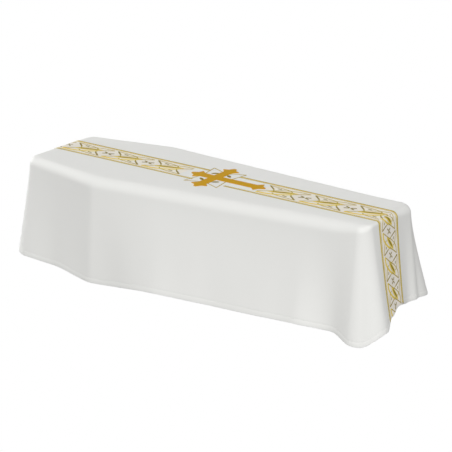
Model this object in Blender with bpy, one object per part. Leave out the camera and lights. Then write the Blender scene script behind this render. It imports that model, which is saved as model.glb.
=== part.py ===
"""Funeral pall: one white cloth hanging as a hollow cover of a long form with shoulders, trimmed in gold.

The frame's origin is the middle of the underside of the flat top. +X runs to the foot end, +Y to the
far side and +Z up. Everything hangs below that top, down to the hem.
"""

import math
from collections import namedtuple

import bmesh
import bpy
from mathutils import Vector

# The flat top: its outline has a narrow head end, shoulders, and a narrow foot end
LENGTH = 2.000
HEAD_WIDTH = 0.512
SHOULDER_WIDTH = 0.714
FOOT_WIDTH = 0.454
SHOULDER_FROM_HEAD = 0.506
NEAR_FOOT_FURTHER = 0.012
END_CORNER_RADIUS = 0.064
SHOULDER_RADIUS = 0.160

# The cloth
CLOTH_THICKNESS = 0.002
EDGE_STEPS = 5
FALL_STEPS = 9
FLARE_POWER = 1.15
BEND_STEPS = 8
SHOULDER_STEPS = 5
SLANT_STEPS = 6
LONG_STEPS = 18
END_STEPS = (4, 1, 5, 1, 4)
SMOOTH_ANGLE = 40

# The gold border: two braids along the cloth, broken off on both sides of the cross
BRAID_WIDTH = 0.006
BRAID_THICKNESS = 0.001
BRAID_OUT = 0.0855
BAND_SHIFT_HEAD = 0.034
BAND_SHIFT_FOOT = -0.032
SEAM_GAP = 0.0003
HEM_CLEARANCE = 0.004

# The cross, cut from gold cloth and sewn on
CROSS_HEAD_ARM = 0.144
CROSS_FOOT_ARM = 0.300
CROSS_SIDE_ARM = 0.170
CROSS_ARM_HALF = 0.024
CROSS_FROM_MIDDLE = 0.005

# Its tips end in a point between two barbs: how far back from the end each part is, and how far out
Tip = namedtuple("Tip", "part back out")
CROSS_TIP = (
    Tip("neck", 0.062, 0.024),
    Tip("barb", 0.036, 0.048),
    Tip("hollow", 0.026, 0.021),
    Tip("point", 0.000, 0.006),
)

Braid = namedtuple("Braid", "name end side stops_at")
BRAIDS = (
    Braid("braid_near_head", -1, -1, -0.076),
    Braid("braid_near_foot", 1, -1, 0.117),
    Braid("braid_far_head", -1, 1, -0.090),
    Braid("braid_far_foot", 1, 1, 0.098),
)

# The hem, once round from the near head corner: how far it stands out from the top's edge above it,
# how far it hangs below the top, and the radius over the edge there. The deep fold is at the near foot corner.
NEAR_HEAD, NEAR_SHOULDER, NEAR_FOOT, FAR_FOOT, FAR_SHOULDER, FAR_HEAD = range(6)
Hem = namedtuple("Hem", "place corner stretch fraction reach drop radius")
HEM = (
    Hem("near head corner, end side", NEAR_HEAD, "bend", 0.00, 0.070, 0.490, 0.036),
    Hem("near head corner, long side", NEAR_HEAD, "bend", 1.00, 0.075, 0.504, 0.050),
    Hem("near slant", NEAR_HEAD, "side", 0.50, 0.044, 0.510, 0.050),
    Hem("near shoulder", NEAR_SHOULDER, "bend", 0.50, 0.030, 0.536, 0.055),
    Hem("near side by the shoulder", NEAR_SHOULDER, "side", 0.28, 0.081, 0.498, 0.060),
    Hem("near side, middle", NEAR_SHOULDER, "side", 0.58, 0.075, 0.502, 0.060),
    Hem("near side by the foot", NEAR_SHOULDER, "side", 0.80, 0.069, 0.504, 0.060),
    Hem("trough beside the deep fold", NEAR_SHOULDER, "side", 0.93, 0.030, 0.521, 0.055),
    Hem("deep fold, lowest point", NEAR_FOOT, "bend", 0.34, 0.058, 0.566, 0.040),
    Hem("deep fold, outer ridge", NEAR_FOOT, "bend", 1.00, 0.088, 0.506, 0.016),
    Hem("foot end, near trough", NEAR_FOOT, "side", 0.25, 0.065, 0.460, 0.012),
    Hem("foot end, middle", NEAR_FOOT, "side", 0.50, 0.051, 0.436, 0.022),
    Hem("foot end, far trough", NEAR_FOOT, "side", 0.85, 0.036, 0.458, 0.040),
    Hem("far foot corner, end side", FAR_FOOT, "bend", 0.20, 0.050, 0.460, 0.046),
    Hem("far foot corner, fold", FAR_FOOT, "bend", 0.80, 0.123, 0.476, 0.050),
    Hem("far side by the foot", FAR_FOOT, "side", 0.14, 0.056, 0.482, 0.060),
    Hem("far side, middle", FAR_FOOT, "side", 0.55, 0.073, 0.498, 0.060),
    Hem("far side by the shoulder", FAR_FOOT, "side", 0.82, 0.056, 0.504, 0.060),
    Hem("far shoulder", FAR_SHOULDER, "bend", 0.50, 0.059, 0.522, 0.055),
    Hem("far slant", FAR_SHOULDER, "side", 0.50, 0.042, 0.506, 0.050),
    Hem("far head corner, fold", FAR_HEAD, "bend", 0.45, 0.098, 0.528, 0.044),
    Hem("head end, far trough", FAR_HEAD, "side", 0.18, 0.040, 0.494, 0.036),
    Hem("head end, middle", FAR_HEAD, "side", 0.55, 0.046, 0.480, 0.036),
)

WHITE_BROCADE = ((0.83, 0.82, 0.79), 0.72, 0.0)
GOLD_BRAID = ((0.55, 0.36, 0.07), 0.42, 0.55)
GOLD_CLOTH = ((0.55, 0.34, 0.03), 0.45, 0.45)

Bend = namedtuple("Bend", "start length centre radius angle")
Side = namedtuple("Side", "start length point direction")


def clear_scene():
    for obj in list(bpy.data.objects):
        bpy.data.objects.remove(obj, do_unlink=True)


def finish_material(name, finish):
    """A plain shader with the colour, roughness and metallic value of one finish."""
    colour, roughness, metallic = finish
    material = bpy.data.materials.new(name)
    material.use_nodes = True
    shader = material.node_tree.nodes["Principled BSDF"]
    shader.inputs["Base Color"].default_value = (*colour, 1.0)
    shader.inputs["Roughness"].default_value = roughness
    shader.inputs["Metallic"].default_value = metallic
    return material


def outline_corners():
    """The six corners of the flat top, in the order of NEAR_HEAD to FAR_HEAD."""
    head, foot = -LENGTH / 2, LENGTH / 2
    shoulder = head + SHOULDER_FROM_HEAD
    near = [(head, HEAD_WIDTH), (shoulder, SHOULDER_WIDTH), (foot, FOOT_WIDTH)]
    points = [Vector((x, -width / 2)) for x, width in near]
    points[NEAR_FOOT].x += NEAR_FOOT_FURTHER
    return points + [Vector((x, width / 2)) for x, width in reversed(near)]


def outline_stretches():
    """The top's edge as six bends, each followed by its straight side, with running lengths."""
    corners = outline_corners()
    bends = []
    for index, corner in enumerate(corners):
        before = (corner - corners[index - 1]).normalized()
        after = (corners[(index + 1) % len(corners)] - corner).normalized()
        turn = math.atan2(before.cross(after), before.dot(after))
        radius = SHOULDER_RADIUS if index in (NEAR_SHOULDER, FAR_SHOULDER) else END_CORNER_RADIUS
        setback = radius * math.tan(turn / 2)
        first = corner - before * setback
        last = corner + after * setback
        outward = Vector((before.y, -before.x))
        angle = math.atan2(outward.y, outward.x)
        bends.append((first - outward * radius, radius, angle, turn, last, first))
    stretches = []
    running = 0.0
    for index, (centre, radius, angle, turn, last, _) in enumerate(bends):
        stretches.append(Bend(running, radius * turn, centre, radius, angle))
        running += radius * turn
        reach = bends[(index + 1) % len(bends)][5] - last
        stretches.append(Side(running, reach.length, last, reach.normalized()))
        running += reach.length
    return stretches, running


STRETCHES, AROUND = outline_stretches()


def stretch_of(corner, kind):
    return STRETCHES[2 * corner + (kind == "side")]


def edge_at(along):
    """The point of the top's edge at a running length, and the direction outward from it."""
    along %= AROUND
    stretch = [piece for piece in STRETCHES if piece.start <= along + 1e-9][-1]
    if isinstance(stretch, Bend):
        angle = stretch.angle + (along - stretch.start) / stretch.radius
        outward = Vector((math.cos(angle), math.sin(angle)))
        return stretch.centre + outward * stretch.radius, outward
    point = stretch.point + stretch.direction * (along - stretch.start)
    return point, Vector((stretch.direction.y, -stretch.direction.x))


def hem_stations():
    """The rows of HEM as (running length, (reach, drop, radius)), with one more before and after them."""
    rows = []
    for hem in HEM:
        stretch = stretch_of(hem.corner, hem.stretch)
        rows.append((stretch.start + hem.fraction * stretch.length, (hem.reach, hem.drop, hem.radius)))
    first, last = rows[0], rows[-1]
    return [(last[0] - AROUND, last[1]), *rows, (first[0] + AROUND, first[1])]


STATIONS = hem_stations()


def hem_at(along):
    """The hem's reach and drop and the edge's radius at a running length, eased from row to row of HEM."""
    along %= AROUND
    for (start, here), (end, there) in zip(STATIONS, STATIONS[1:]):
        if along <= end:
            t = (along - start) / (end - start)
            ease = t * t * (3 - 2 * t)
            return [first + (last - first) * ease for first, last in zip(here, there)]
    raise ValueError("no hem there")


def section_at(along):
    """The outer face of the cloth from the flat top over the edge down to the hem, as points."""
    edge, outward = edge_at(along)
    reach, drop, radius = hem_at(along)
    steps = []
    for step in range(EDGE_STEPS + 1):
        angle = math.pi / 2 * step / EDGE_STEPS
        steps.append((radius * (math.sin(angle) - 1), radius * (1 - math.cos(angle))))
    for step in range(1, FALL_STEPS + 1):
        t = step / FALL_STEPS
        steps.append((reach * t**FLARE_POWER, radius + t * (drop - radius)))
    flat = [edge + outward * out for out, _ in steps]
    return [Vector((*point, CLOTH_THICKNESS - down)) for point, (_, down) in zip(flat, steps)]


def band_middle(x):
    """Where the middle of the gold border lies across the top, a little askew along it."""
    return BAND_SHIFT_HEAD + (BAND_SHIFT_FOOT - BAND_SHIFT_HEAD) * (x / LENGTH + 0.5)


def braid_edges(braid):
    """The running lengths on the top's edge where the two sides of a braid go over it."""
    side = stretch_of(FAR_HEAD if braid.end < 0 else NEAR_FOOT, "side")
    middle = band_middle(braid.end * LENGTH / 2) + braid.side * BRAID_OUT
    places = (middle - BRAID_WIDTH / 2, middle + BRAID_WIDTH / 2)
    return [side.start + (y - side.point.y) / side.direction.y for y in places]


def spread(stretch, steps):
    return [stretch.start + stretch.length * step / steps for step in range(steps)]


def end_columns(corner):
    """Columns of an end face: one at each side of each braid, and even ones between them."""
    side = stretch_of(corner, "side")
    end = 1 if corner == NEAR_FOOT else -1
    braids = [braid for braid in BRAIDS if braid.end == end]
    marks = sorted(along for braid in braids for along in braid_edges(braid))
    marks = [side.start, *marks, side.start + side.length]
    columns = []
    for start, stop, steps in zip(marks, marks[1:], END_STEPS):
        columns += [start + (stop - start) * step / steps for step in range(steps)]
    return columns


def cloth_columns():
    """The running lengths at which the cloth has a column of points, once round its edge."""
    columns = []
    for corner, bend_steps, side_steps in (
        (NEAR_HEAD, BEND_STEPS, SLANT_STEPS),
        (NEAR_SHOULDER, SHOULDER_STEPS, LONG_STEPS),
        (NEAR_FOOT, BEND_STEPS, END_STEPS),
        (FAR_FOOT, BEND_STEPS, LONG_STEPS),
        (FAR_SHOULDER, SHOULDER_STEPS, SLANT_STEPS),
        (FAR_HEAD, BEND_STEPS, END_STEPS),
    ):
        columns += spread(stretch_of(corner, "bend"), bend_steps)
        if side_steps == END_STEPS:
            columns += end_columns(corner)
        else:
            columns += spread(stretch_of(corner, "side"), side_steps)
    return columns


def new_object(name, points, faces, material):
    mesh = bpy.data.meshes.new(name)
    mesh.from_pydata([tuple(point) for point in points], [], faces)
    mesh.materials.append(material)
    obj = bpy.data.objects.new(name, mesh)
    bpy.context.scene.collection.objects.link(obj)
    return obj


def build_cloth():
    """The whole pall as one sheet, thickened inward, so that its outer face is the drawn one."""
    sections = [section_at(along) for along in cloth_columns()]
    count, rows = len(sections), len(sections[0])
    points = [point for section in sections for point in section]
    faces = [[column * rows for column in range(count)]]
    for column in range(count):
        here, there = column * rows, (column + 1) % count * rows
        for row in range(rows - 1):
            faces.append((here + row, here + row + 1, there + row + 1))
            faces.append((here + row, there + row + 1, there + row))
    cloth = new_object("pall_cloth", points, faces, finish_material("white_brocade", WHITE_BROCADE))
    cloth.data.shade_smooth()
    cloth.data.set_sharp_from_angle(angle=math.radians(SMOOTH_ANGLE))
    sheet = cloth.modifiers.new("sheet", "SOLIDIFY")
    sheet.thickness = CLOTH_THICKNESS
    sheet.offset = -1
    sheet.use_even_offset = True
    return cloth


def braid_path(along, braid):
    """One side of a braid on the cloth's outer face, from its stop near the cross to the hem."""
    section = section_at(along)
    edge = section[0]
    slope = (BAND_SHIFT_FOOT - BAND_SHIFT_HEAD) / LENGTH
    start = Vector((braid.stops_at, edge.y + slope * (braid.stops_at - edge.x), edge.z))
    last, above = section[-1], section[-2]
    section[-1] = last + (above - last).normalized() * HEM_CLEARANCE
    return [start, *section]


def lifted(near, far, height):
    """Both sides of a strip moved off the cloth by one height, measured square to its facets."""
    fronts = []
    for step in range(len(near) - 1):
        run = near[step + 1] - near[step]
        fronts.append(run.cross(far[step] - near[step]).normalized())
    moved = []
    for step, pair in enumerate(zip(near, far)):
        before, after = fronts[max(step - 1, 0)], fronts[min(step, len(fronts) - 1)]
        mitre = (before + after).normalized()
        offset = mitre * (height / mitre.dot(after))
        moved.append([point + offset for point in pair])
    return moved


def build_braid(braid, material):
    """A flat gold braid, sewn along the cloth and over its end, down to just above the hem."""
    near, far = [braid_path(along, braid) for along in braid_edges(braid)]
    if braid.end < 0:
        near, far = far, near
    under = lifted(near, far, SEAM_GAP)
    over = lifted(near, far, SEAM_GAP + BRAID_THICKNESS)
    points = [point for low, high in zip(under, over) for point in (*low, *high)]
    faces = [(0, 2, 3), (0, 3, 1)]
    for row in range(len(under) - 1):
        a, b = 4 * row, 4 * row + 4
        for first, second in ((1, 0), (0, 2), (3, 1)):
            faces.append((a + first, a + second, b + second))
            faces.append((a + first, b + second, b + first))
        faces.append((a + 2, a + 3, b + 3))
        faces.append((a + 2, b + 3, b + 2))
    end = 4 * (len(under) - 1)
    faces += [(end + 1, end + 3, end + 2), (end + 1, end + 2, end)]
    obj = new_object(braid.name, points, faces, material)
    editing = bmesh.new()
    editing.from_mesh(obj.data)
    bmesh.ops.recalc_face_normals(editing, faces=editing.faces)
    editing.to_mesh(obj.data)
    editing.free()
    return obj


def cross_outline():
    """The outline of a Latin cross whose arms end in three-pointed tips, its foot arm along +X."""
    arms = (CROSS_FOOT_ARM, CROSS_SIDE_ARM, CROSS_HEAD_ARM, CROSS_SIDE_ARM)
    points = []
    for quarter, arm in enumerate(arms):
        far_side = [(arm - tip.back, tip.out) for tip in reversed(CROSS_TIP)]
        near_side = [(arm - tip.back, -tip.out) for tip in CROSS_TIP]
        turn = math.pi / 2 * quarter
        for x, y in [(CROSS_ARM_HALF, -CROSS_ARM_HALF), *near_side, *far_side]:
            along = math.cos(turn) * x - math.sin(turn) * y
            across = math.sin(turn) * x + math.cos(turn) * y
            points.append((along, across))
    return points


def build_cross():
    """The gold cross as one flat piece, lying square to the border on the flat top."""
    bottom = CLOTH_THICKNESS + SEAM_GAP
    points = [(x, y, 0.0) for x, y in cross_outline()]
    gold = finish_material("gold_cloth", GOLD_CLOTH)
    cross = new_object("cross", points, [list(range(len(points)))], gold)
    editing = bmesh.new()
    editing.from_mesh(cross.data)
    grown = bmesh.ops.extrude_face_region(editing, geom=list(editing.faces))
    raised = [item for item in grown["geom"] if isinstance(item, bmesh.types.BMVert)]
    bmesh.ops.translate(editing, verts=raised, vec=(0.0, 0.0, BRAID_THICKNESS))
    bmesh.ops.recalc_face_normals(editing, faces=editing.faces)
    editing.to_mesh(cross.data)
    editing.free()
    cross.location = (CROSS_FROM_MIDDLE, band_middle(CROSS_FROM_MIDDLE), bottom)
    cross.rotation_euler.z = math.atan2(BAND_SHIFT_FOOT - BAND_SHIFT_HEAD, LENGTH)
    return cross


def main():
    clear_scene()
    build_cloth()
    gold = finish_material("gold_braid", GOLD_BRAID)
    for braid in BRAIDS:
        build_braid(braid, gold)
    build_cross()


main()
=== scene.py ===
"""Looks of a white funeral pall: a cloth that hangs as a hollow cover, with a gold border and a gold cross.

Run as a script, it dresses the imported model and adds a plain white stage. Each button of its panel makes
one piece or one group of like pieces. Lengths are in metres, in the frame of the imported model: +X runs to
the foot end, +Y to the far side, +Z up, and the underside of the flat top is at height zero.
"""

import math
from collections import namedtuple

import bmesh
import bpy
from bpy.props import FloatProperty, FloatVectorProperty, IntProperty, PointerProperty
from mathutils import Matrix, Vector, noise
from mathutils.geometry import delaunay_2d_cdt


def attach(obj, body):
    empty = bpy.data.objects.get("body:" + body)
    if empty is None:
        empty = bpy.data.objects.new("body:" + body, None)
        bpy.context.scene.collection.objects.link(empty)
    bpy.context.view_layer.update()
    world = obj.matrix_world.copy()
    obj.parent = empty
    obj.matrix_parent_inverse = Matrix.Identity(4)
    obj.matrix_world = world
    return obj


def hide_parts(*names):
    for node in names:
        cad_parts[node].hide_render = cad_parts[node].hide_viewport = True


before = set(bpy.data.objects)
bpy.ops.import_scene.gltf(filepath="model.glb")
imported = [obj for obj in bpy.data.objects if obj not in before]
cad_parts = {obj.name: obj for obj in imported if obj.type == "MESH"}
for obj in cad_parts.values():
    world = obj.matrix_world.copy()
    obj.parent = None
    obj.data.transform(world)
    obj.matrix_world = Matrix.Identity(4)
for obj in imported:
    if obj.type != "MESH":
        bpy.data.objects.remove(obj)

bl_info = {
    "name": "Funeral Pall",
    "version": (1, 0, 0),
    "blender": (4, 5, 0),
    "location": "View3D > Sidebar > Pall",
    "description": "Makes a draped white pall with gold braid, a gold cross and gold needlework",
    "category": "Object",
}

BODY = "root"


def linear(code):
    """An sRGB hex colour as linear red, green and blue."""
    channels = [int(code[start : start + 2], 16) / 255 for start in (0, 2, 4)]
    return tuple(c / 12.92 if c <= 0.04045 else ((c + 0.055) / 1.055) ** 2.4 for c in channels)


# The hem, once round from the near head corner: how far it stands out from the top's edge above it,
# how far it hangs below the top, and the radius over the edge there. Each row lies on a corner's bend or on
# the straight side after it, at a fraction of that stretch.
NEAR_HEAD, NEAR_SHOULDER, NEAR_FOOT, FAR_FOOT, FAR_SHOULDER, FAR_HEAD = range(6)
Hem = namedtuple("Hem", "place corner stretch fraction reach drop radius")
HEM = (
    Hem("near head corner, end side", NEAR_HEAD, "bend", 0.00, 0.070, 0.490, 0.036),
    Hem("near head corner, long side", NEAR_HEAD, "bend", 1.00, 0.075, 0.504, 0.050),
    Hem("near slant", NEAR_HEAD, "side", 0.50, 0.044, 0.510, 0.050),
    Hem("near shoulder", NEAR_SHOULDER, "bend", 0.50, 0.030, 0.536, 0.055),
    Hem("near side by the shoulder", NEAR_SHOULDER, "side", 0.28, 0.081, 0.498, 0.060),
    Hem("near side, middle", NEAR_SHOULDER, "side", 0.58, 0.075, 0.502, 0.060),
    Hem("near side by the foot", NEAR_SHOULDER, "side", 0.80, 0.069, 0.504, 0.060),
    Hem("trough beside the deep fold", NEAR_SHOULDER, "side", 0.93, 0.030, 0.521, 0.055),
    Hem("deep fold, lowest point", NEAR_FOOT, "bend", 0.34, 0.058, 0.566, 0.040),
    Hem("deep fold, outer ridge", NEAR_FOOT, "bend", 1.00, 0.088, 0.506, 0.016),
    Hem("foot end, near trough", NEAR_FOOT, "side", 0.25, 0.065, 0.460, 0.012),
    Hem("foot end, middle", NEAR_FOOT, "side", 0.50, 0.051, 0.436, 0.022),
    Hem("foot end, far trough", NEAR_FOOT, "side", 0.85, 0.036, 0.458, 0.040),
    Hem("far foot corner, end side", FAR_FOOT, "bend", 0.20, 0.050, 0.460, 0.046),
    Hem("far foot corner, fold", FAR_FOOT, "bend", 0.80, 0.123, 0.476, 0.050),
    Hem("far side by the foot", FAR_FOOT, "side", 0.14, 0.056, 0.482, 0.060),
    Hem("far side, middle", FAR_FOOT, "side", 0.55, 0.073, 0.498, 0.060),
    Hem("far side by the shoulder", FAR_FOOT, "side", 0.82, 0.056, 0.504, 0.060),
    Hem("far shoulder", FAR_SHOULDER, "bend", 0.50, 0.059, 0.522, 0.055),
    Hem("far slant", FAR_SHOULDER, "side", 0.50, 0.042, 0.506, 0.050),
    Hem("far head corner, fold", FAR_HEAD, "bend", 0.45, 0.098, 0.528, 0.044),
    Hem("head end, far trough", FAR_HEAD, "side", 0.18, 0.040, 0.494, 0.036),
    Hem("head end, middle", FAR_HEAD, "side", 0.55, 0.046, 0.480, 0.036),
)

# The braids that edge the border: which end each runs to, its side of the middle, where it breaks off
Braid = namedtuple("Braid", "node end side stops_at")
BRAIDS = (
    Braid("braid_near_head", -1, -1, -0.076),
    Braid("braid_near_foot", 1, -1, 0.117),
    Braid("braid_far_head", -1, 1, -0.090),
    Braid("braid_far_foot", 1, 1, 0.098),
)

# The cross's tips end in a point between two barbs: how far back from the end each part is, how far out
Tip = namedtuple("Tip", "part back out")
CROSS_TIP = (
    Tip("neck", 0.062, 0.024),
    Tip("barb", 0.036, 0.048),
    Tip("hollow", 0.026, 0.021),
    Tip("point", 0.000, 0.006),
)

# The interlace, repeat by repeat along the border: where its gold leaf lies, how long the repeat is,
# and from where to where it is worked, which is the whole repeat if nothing is said
Repeat = namedtuple("Repeat", "leaf_at length first last", defaults=(-0.5, 0.5))
SHORT_REPEAT = 0.112
INTERLACE = (
    Repeat(-1.473, 0.112),
    Repeat(-1.361, 0.112),
    Repeat(-1.249, 0.112),
    Repeat(-1.137, 0.112),
    Repeat(-1.018, 0.126),
    Repeat(-0.822, 0.266),
    Repeat(-0.556, 0.266),
    Repeat(-0.289, 0.266, -0.5, 0.45),
    Repeat(0.409, 0.262, -0.45, 0.5),
    Repeat(0.671, 0.254),
    Repeat(0.920, 0.240, -0.5, 0.30),
    Repeat(1.010, 0.114, -0.16, 0.5),
    Repeat(1.124, 0.114),
    Repeat(1.242, 0.122),
    Repeat(1.363, 0.120),
    Repeat(1.483, 0.120),
)

# One half of a repeat, as (part of its length from the leaf, metres across from the border's middle).
# The other half is the same turned half round. A slanted bar ends the ribbon.
Stroke = namedtuple("Stroke", "thread width points")
SLANTED_BAR = Stroke("dark", 0.0058, ((0.25, -0.022), (0.42, -0.060)))
HALF_REPEAT = (
    Stroke("satin", 0.0095, (
        (-0.50, -0.056), (-0.28, -0.056), (-0.16, -0.050), (-0.03, -0.039), (0.11, -0.021), (0.23, 0.006),
    )),
    Stroke("line", 0.0042, (
        (-0.15, -0.030), (-0.08, -0.044), (0.03, -0.050), (0.21, -0.056), (0.42, -0.061),
    )),
    Stroke("line", 0.0048, ((0.20, 0.002), (0.35, 0.030), (0.50, 0.055))),
    SLANTED_BAR,
    Stroke("line", 0.0042, ((0.18, 0.004), (0.25, -0.022))),
    Stroke("dark", 0.0050, ((0.10, -0.036), (0.20, -0.040))),
)

# The pointed shapes along the middle of a ribbon: half their length as part of a repeat, how far they rise
# from the middle to a tip, their place above the border's middle, half their width, and their heights
Leaf = namedtuple("Leaf", "half_length rise above half_width base crown")
BRIGHT_LEAF = Leaf(0.30, 0.026, 0.003, 0.0150, 0.0002, 0.0002)
DARK_LEAF = Leaf(0.21, 0.019, 0.005, 0.0070, 0.0003, 0.0009)
LEAF_STEPS = 16
LEAF_TAPER = 0.75
ACROSS_LEAF = (-1.0, -0.5, 0.0, 0.5, 1.0)

# A ribbon's far side is only outlined. The eyes' petals leave a part of their length open in the middle
OUTLINE_WIDTH = 0.0042
EYE_PETAL = 0.018
EYE_GAP = 0.15
PETAL_WIDTH = 0.0060

# The ground of open filling stitch that the interlace lies on: half its width, how fine its mesh is, and
# how far it is sunk below the other thread
GROUND_HALF = 0.080
GROUND_SPACING = 0.0032
GROUND_ACROSS = 12
GROUND_SUNK = -0.0001

# Round the cross: the tips and hollows of a four-pointed star, and a petal in each quarter
STAR_TIP = (0.100, 0.127)
STAR_HOLLOW = (0.078, 0.086)
PETAL_AT = (0.043, 0.056)
PETAL_HALF = (0.020, 0.0095)
PETAL_HEIGHT = 0.0003
PETAL_CROWN = 0.0008
PETAL_STEPS = 10
PETAL_TAPER = 0.6

# The top is flat at least this far both ways from its middle
SURELY_FLAT = 0.90

# The unevenness of the top, in waves to a metre along and across, and how far down it fades out
TOP_WAVES = (5.0, 7.0)
TOP_WAVES_FADE = 0.2

# The slack of the sides, in waves to a metre, how it grows towards the hem and how it changes on the way
SLACK_WAVES = 7.0
SLACK_GROWTH = 1.5
SLACK_CHANGE = 1.3

# The doubled hem swells, and its row of stitches draws the cloth in
HEM_SWELL = 0.0005
HEM_GROOVE = 0.0004
GROOVE_WIDTH = 0.0035

# Thread lies a little off the cloth, nothing passes the hem, and a stitched line is this high
LIFT = 0.0003
HEM_CLEARANCE = 0.004
STITCH_HEIGHT = 0.0006

# Lengths too small to tell apart: on the top's edge, of a place held back, and between two places
EDGE_ROUNDING = 1e-9
HELD_BACK = 1e-6
SAME_PLACE = 1e-4

# Sections of the strips, as (part of the width, part of the height)
SATIN = ((-0.5, 0.0), (-0.42, 0.6), (-0.2, 1.0), (0.2, 1.0), (0.42, 0.6), (0.5, 0.0))
FLAT_BRAID = (
    (-0.5, 0.0), (-0.5, 0.6), (-0.43, 1.0), (-0.34, 1.0), (-0.27, 0.55),
    (0.0, 0.75), (0.27, 0.55), (0.34, 1.0), (0.43, 1.0), (0.5, 0.6), (0.5, 0.0),
)


def metres(name, description, default):
    """A length that a user can change."""
    return FloatProperty(name=name, description=description, default=default, unit="LENGTH")


def tint(name, description, code):
    """A colour that a user can change."""
    return FloatVectorProperty(name=name, description=description, default=linear(code), subtype="COLOR")


class PallSizes(bpy.types.PropertyGroup):
    """Lengths of the cloth and its trimming."""

    length: metres("Length", "Length of the flat top", 2.0)
    head_width: metres("Head width", "Width of the top at the head end", 0.512)
    shoulder_width: metres("Shoulder width", "Width of the top at its shoulders", 0.714)
    foot_width: metres("Foot width", "Width of the top at the foot end", 0.454)
    shoulder_from_head: metres("Shoulder place", "Shoulders from the head end", 0.506)
    end_corner_radius: metres("End corner radius", "Corners at both ends, from above", 0.064)
    shoulder_radius: metres("Shoulder radius", "Bend at the shoulders, from above", 0.16)
    near_foot_further: metres("Near foot corner", "How much further out it lies", 0.012)
    top_height: metres("Top height", "Outer face of the top over its underside", 0.002)
    flare_power: FloatProperty(
        name="Flare", description="How late the cloth swings outward as it falls", default=1.15
    )
    cloth_thickness: metres("Cloth thickness", "One layer of the cloth", 0.0012)
    hem_depth: metres("Hem depth", "Turned-up edge, hem to stitches", 0.024)
    stitch_pitch: metres("Stitch pitch", "Stitch to stitch along the hem", 0.0045)
    ripple: metres("Ripple", "Slack of the cloth near the hem", 0.0035)
    top_ripple: metres("Top ripple", "Unevenness of the flat top", 0.0005)
    border_at_head: metres("Border at head", "Border's middle at the head end", 0.034)
    border_at_foot: metres("Border at foot", "Border's middle at the foot end", -0.032)
    braid_out: metres("Braid place", "Braid from the border's middle", 0.0855)
    braid_width: metres("Braid width", "Width of the gold braid", 0.006)
    inner_line_out: metres("Inner line", "Thin line from the border's middle", 0.0740)
    ribbon_out: metres("Ribbon place", "Bright ribbon from the border's middle", 0.0800)
    ribbon_width: metres("Ribbon width", "Width of the bright ribbon", 0.0040)
    line_width: metres("Line width", "Width of a needlework line", 0.0042)
    cross_head_arm: metres("Head arm", "Cross's arm towards the head", 0.144)
    cross_foot_arm: metres("Foot arm", "Cross's arm towards the foot", 0.300)
    cross_side_arm: metres("Side arm", "Cross's arms to both sides", 0.170)
    cross_arm_half: metres("Arm half width", "Half the width of the cross's arms", 0.024)
    cross_at: metres("Cross place", "Middle of the cross along the top", 0.005)


class PallColours(bpy.types.PropertyGroup):
    """Colours of the cloth and its gold, as linear values, with the painted shade and painted glint that are
    mixed into their weave and threads.
    """

    cloth: tint("Cloth", "White of the cloth", "EDEDEA")
    # Painted shade: a darker white that the weave and the sewing thread's twist mix into the cloth's colour,
    # where shade would fall in their dips
    cloth_painted_shade: tint("Cloth shade", "White in the dips of its weave", "E5E5E1")
    gold: tint("Gold", "Gold of the cross", "DEA900")
    # Painted shade: a darker gold that the twill mixes into the cross's gold, where shade would fall in its
    # dips
    gold_painted_shade: tint("Dark gold", "Gold in the dips of the cross's cloth", "B98A00")
    # The gold threads are drawn in stripes of two colours: the lighter stripe is a painted glint and the
    # darker painted shade, save where both stripes are the same colour, as in the leaves and the ground
    thread: tint("Gold thread", "Gold of the braids and lines", "E2C84E")
    old_thread: tint("Old gold thread", "Gold of leaves, bars and the braids' ribs", "96841E")
    bright_thread: tint("Bright gold thread", "Gold of the ribbons", "FCE05A")
    pale_thread: tint("Pale thread", "Cream of the border's ground", "F4EEE3")


class PallView(bpy.types.PropertyGroup):
    """Where the camera stands, and how strong the lights are."""

    azimuth: FloatProperty(
        name="Azimuth", description="Camera round from the near side", default=math.radians(35.66),
        subtype="ANGLE",
    )
    elevation: FloatProperty(
        name="Elevation", description="Camera above the horizon", default=math.radians(18.53),
        subtype="ANGLE",
    )
    distance: metres("Distance", "Camera to what it looks at", 8.144)
    looks_at: FloatVectorProperty(
        name="Looks at", description="Middle of the picture", default=(0.481, -0.573, 0.002),
        subtype="TRANSLATION",
    )
    focal_length: FloatProperty(
        name="Focal length", description="Lens of the camera", default=144.0, subtype="DISTANCE_CAMERA"
    )
    key_strength: FloatProperty(name="Key light", description="From the front, foot side", default=2.42)
    side_strength: FloatProperty(name="Side light", description="From the head side", default=2.05)
    sky: FloatProperty(name="Fill", description="Even light from all round", default=0.30)
    seed: IntProperty(name="Seed", description="Picks the ripples of the cloth", default=7)


# Shape of the cloth

Bend = namedtuple("Bend", "start length centre radius angle")
Side = namedtuple("Side", "start length point direction")


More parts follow.
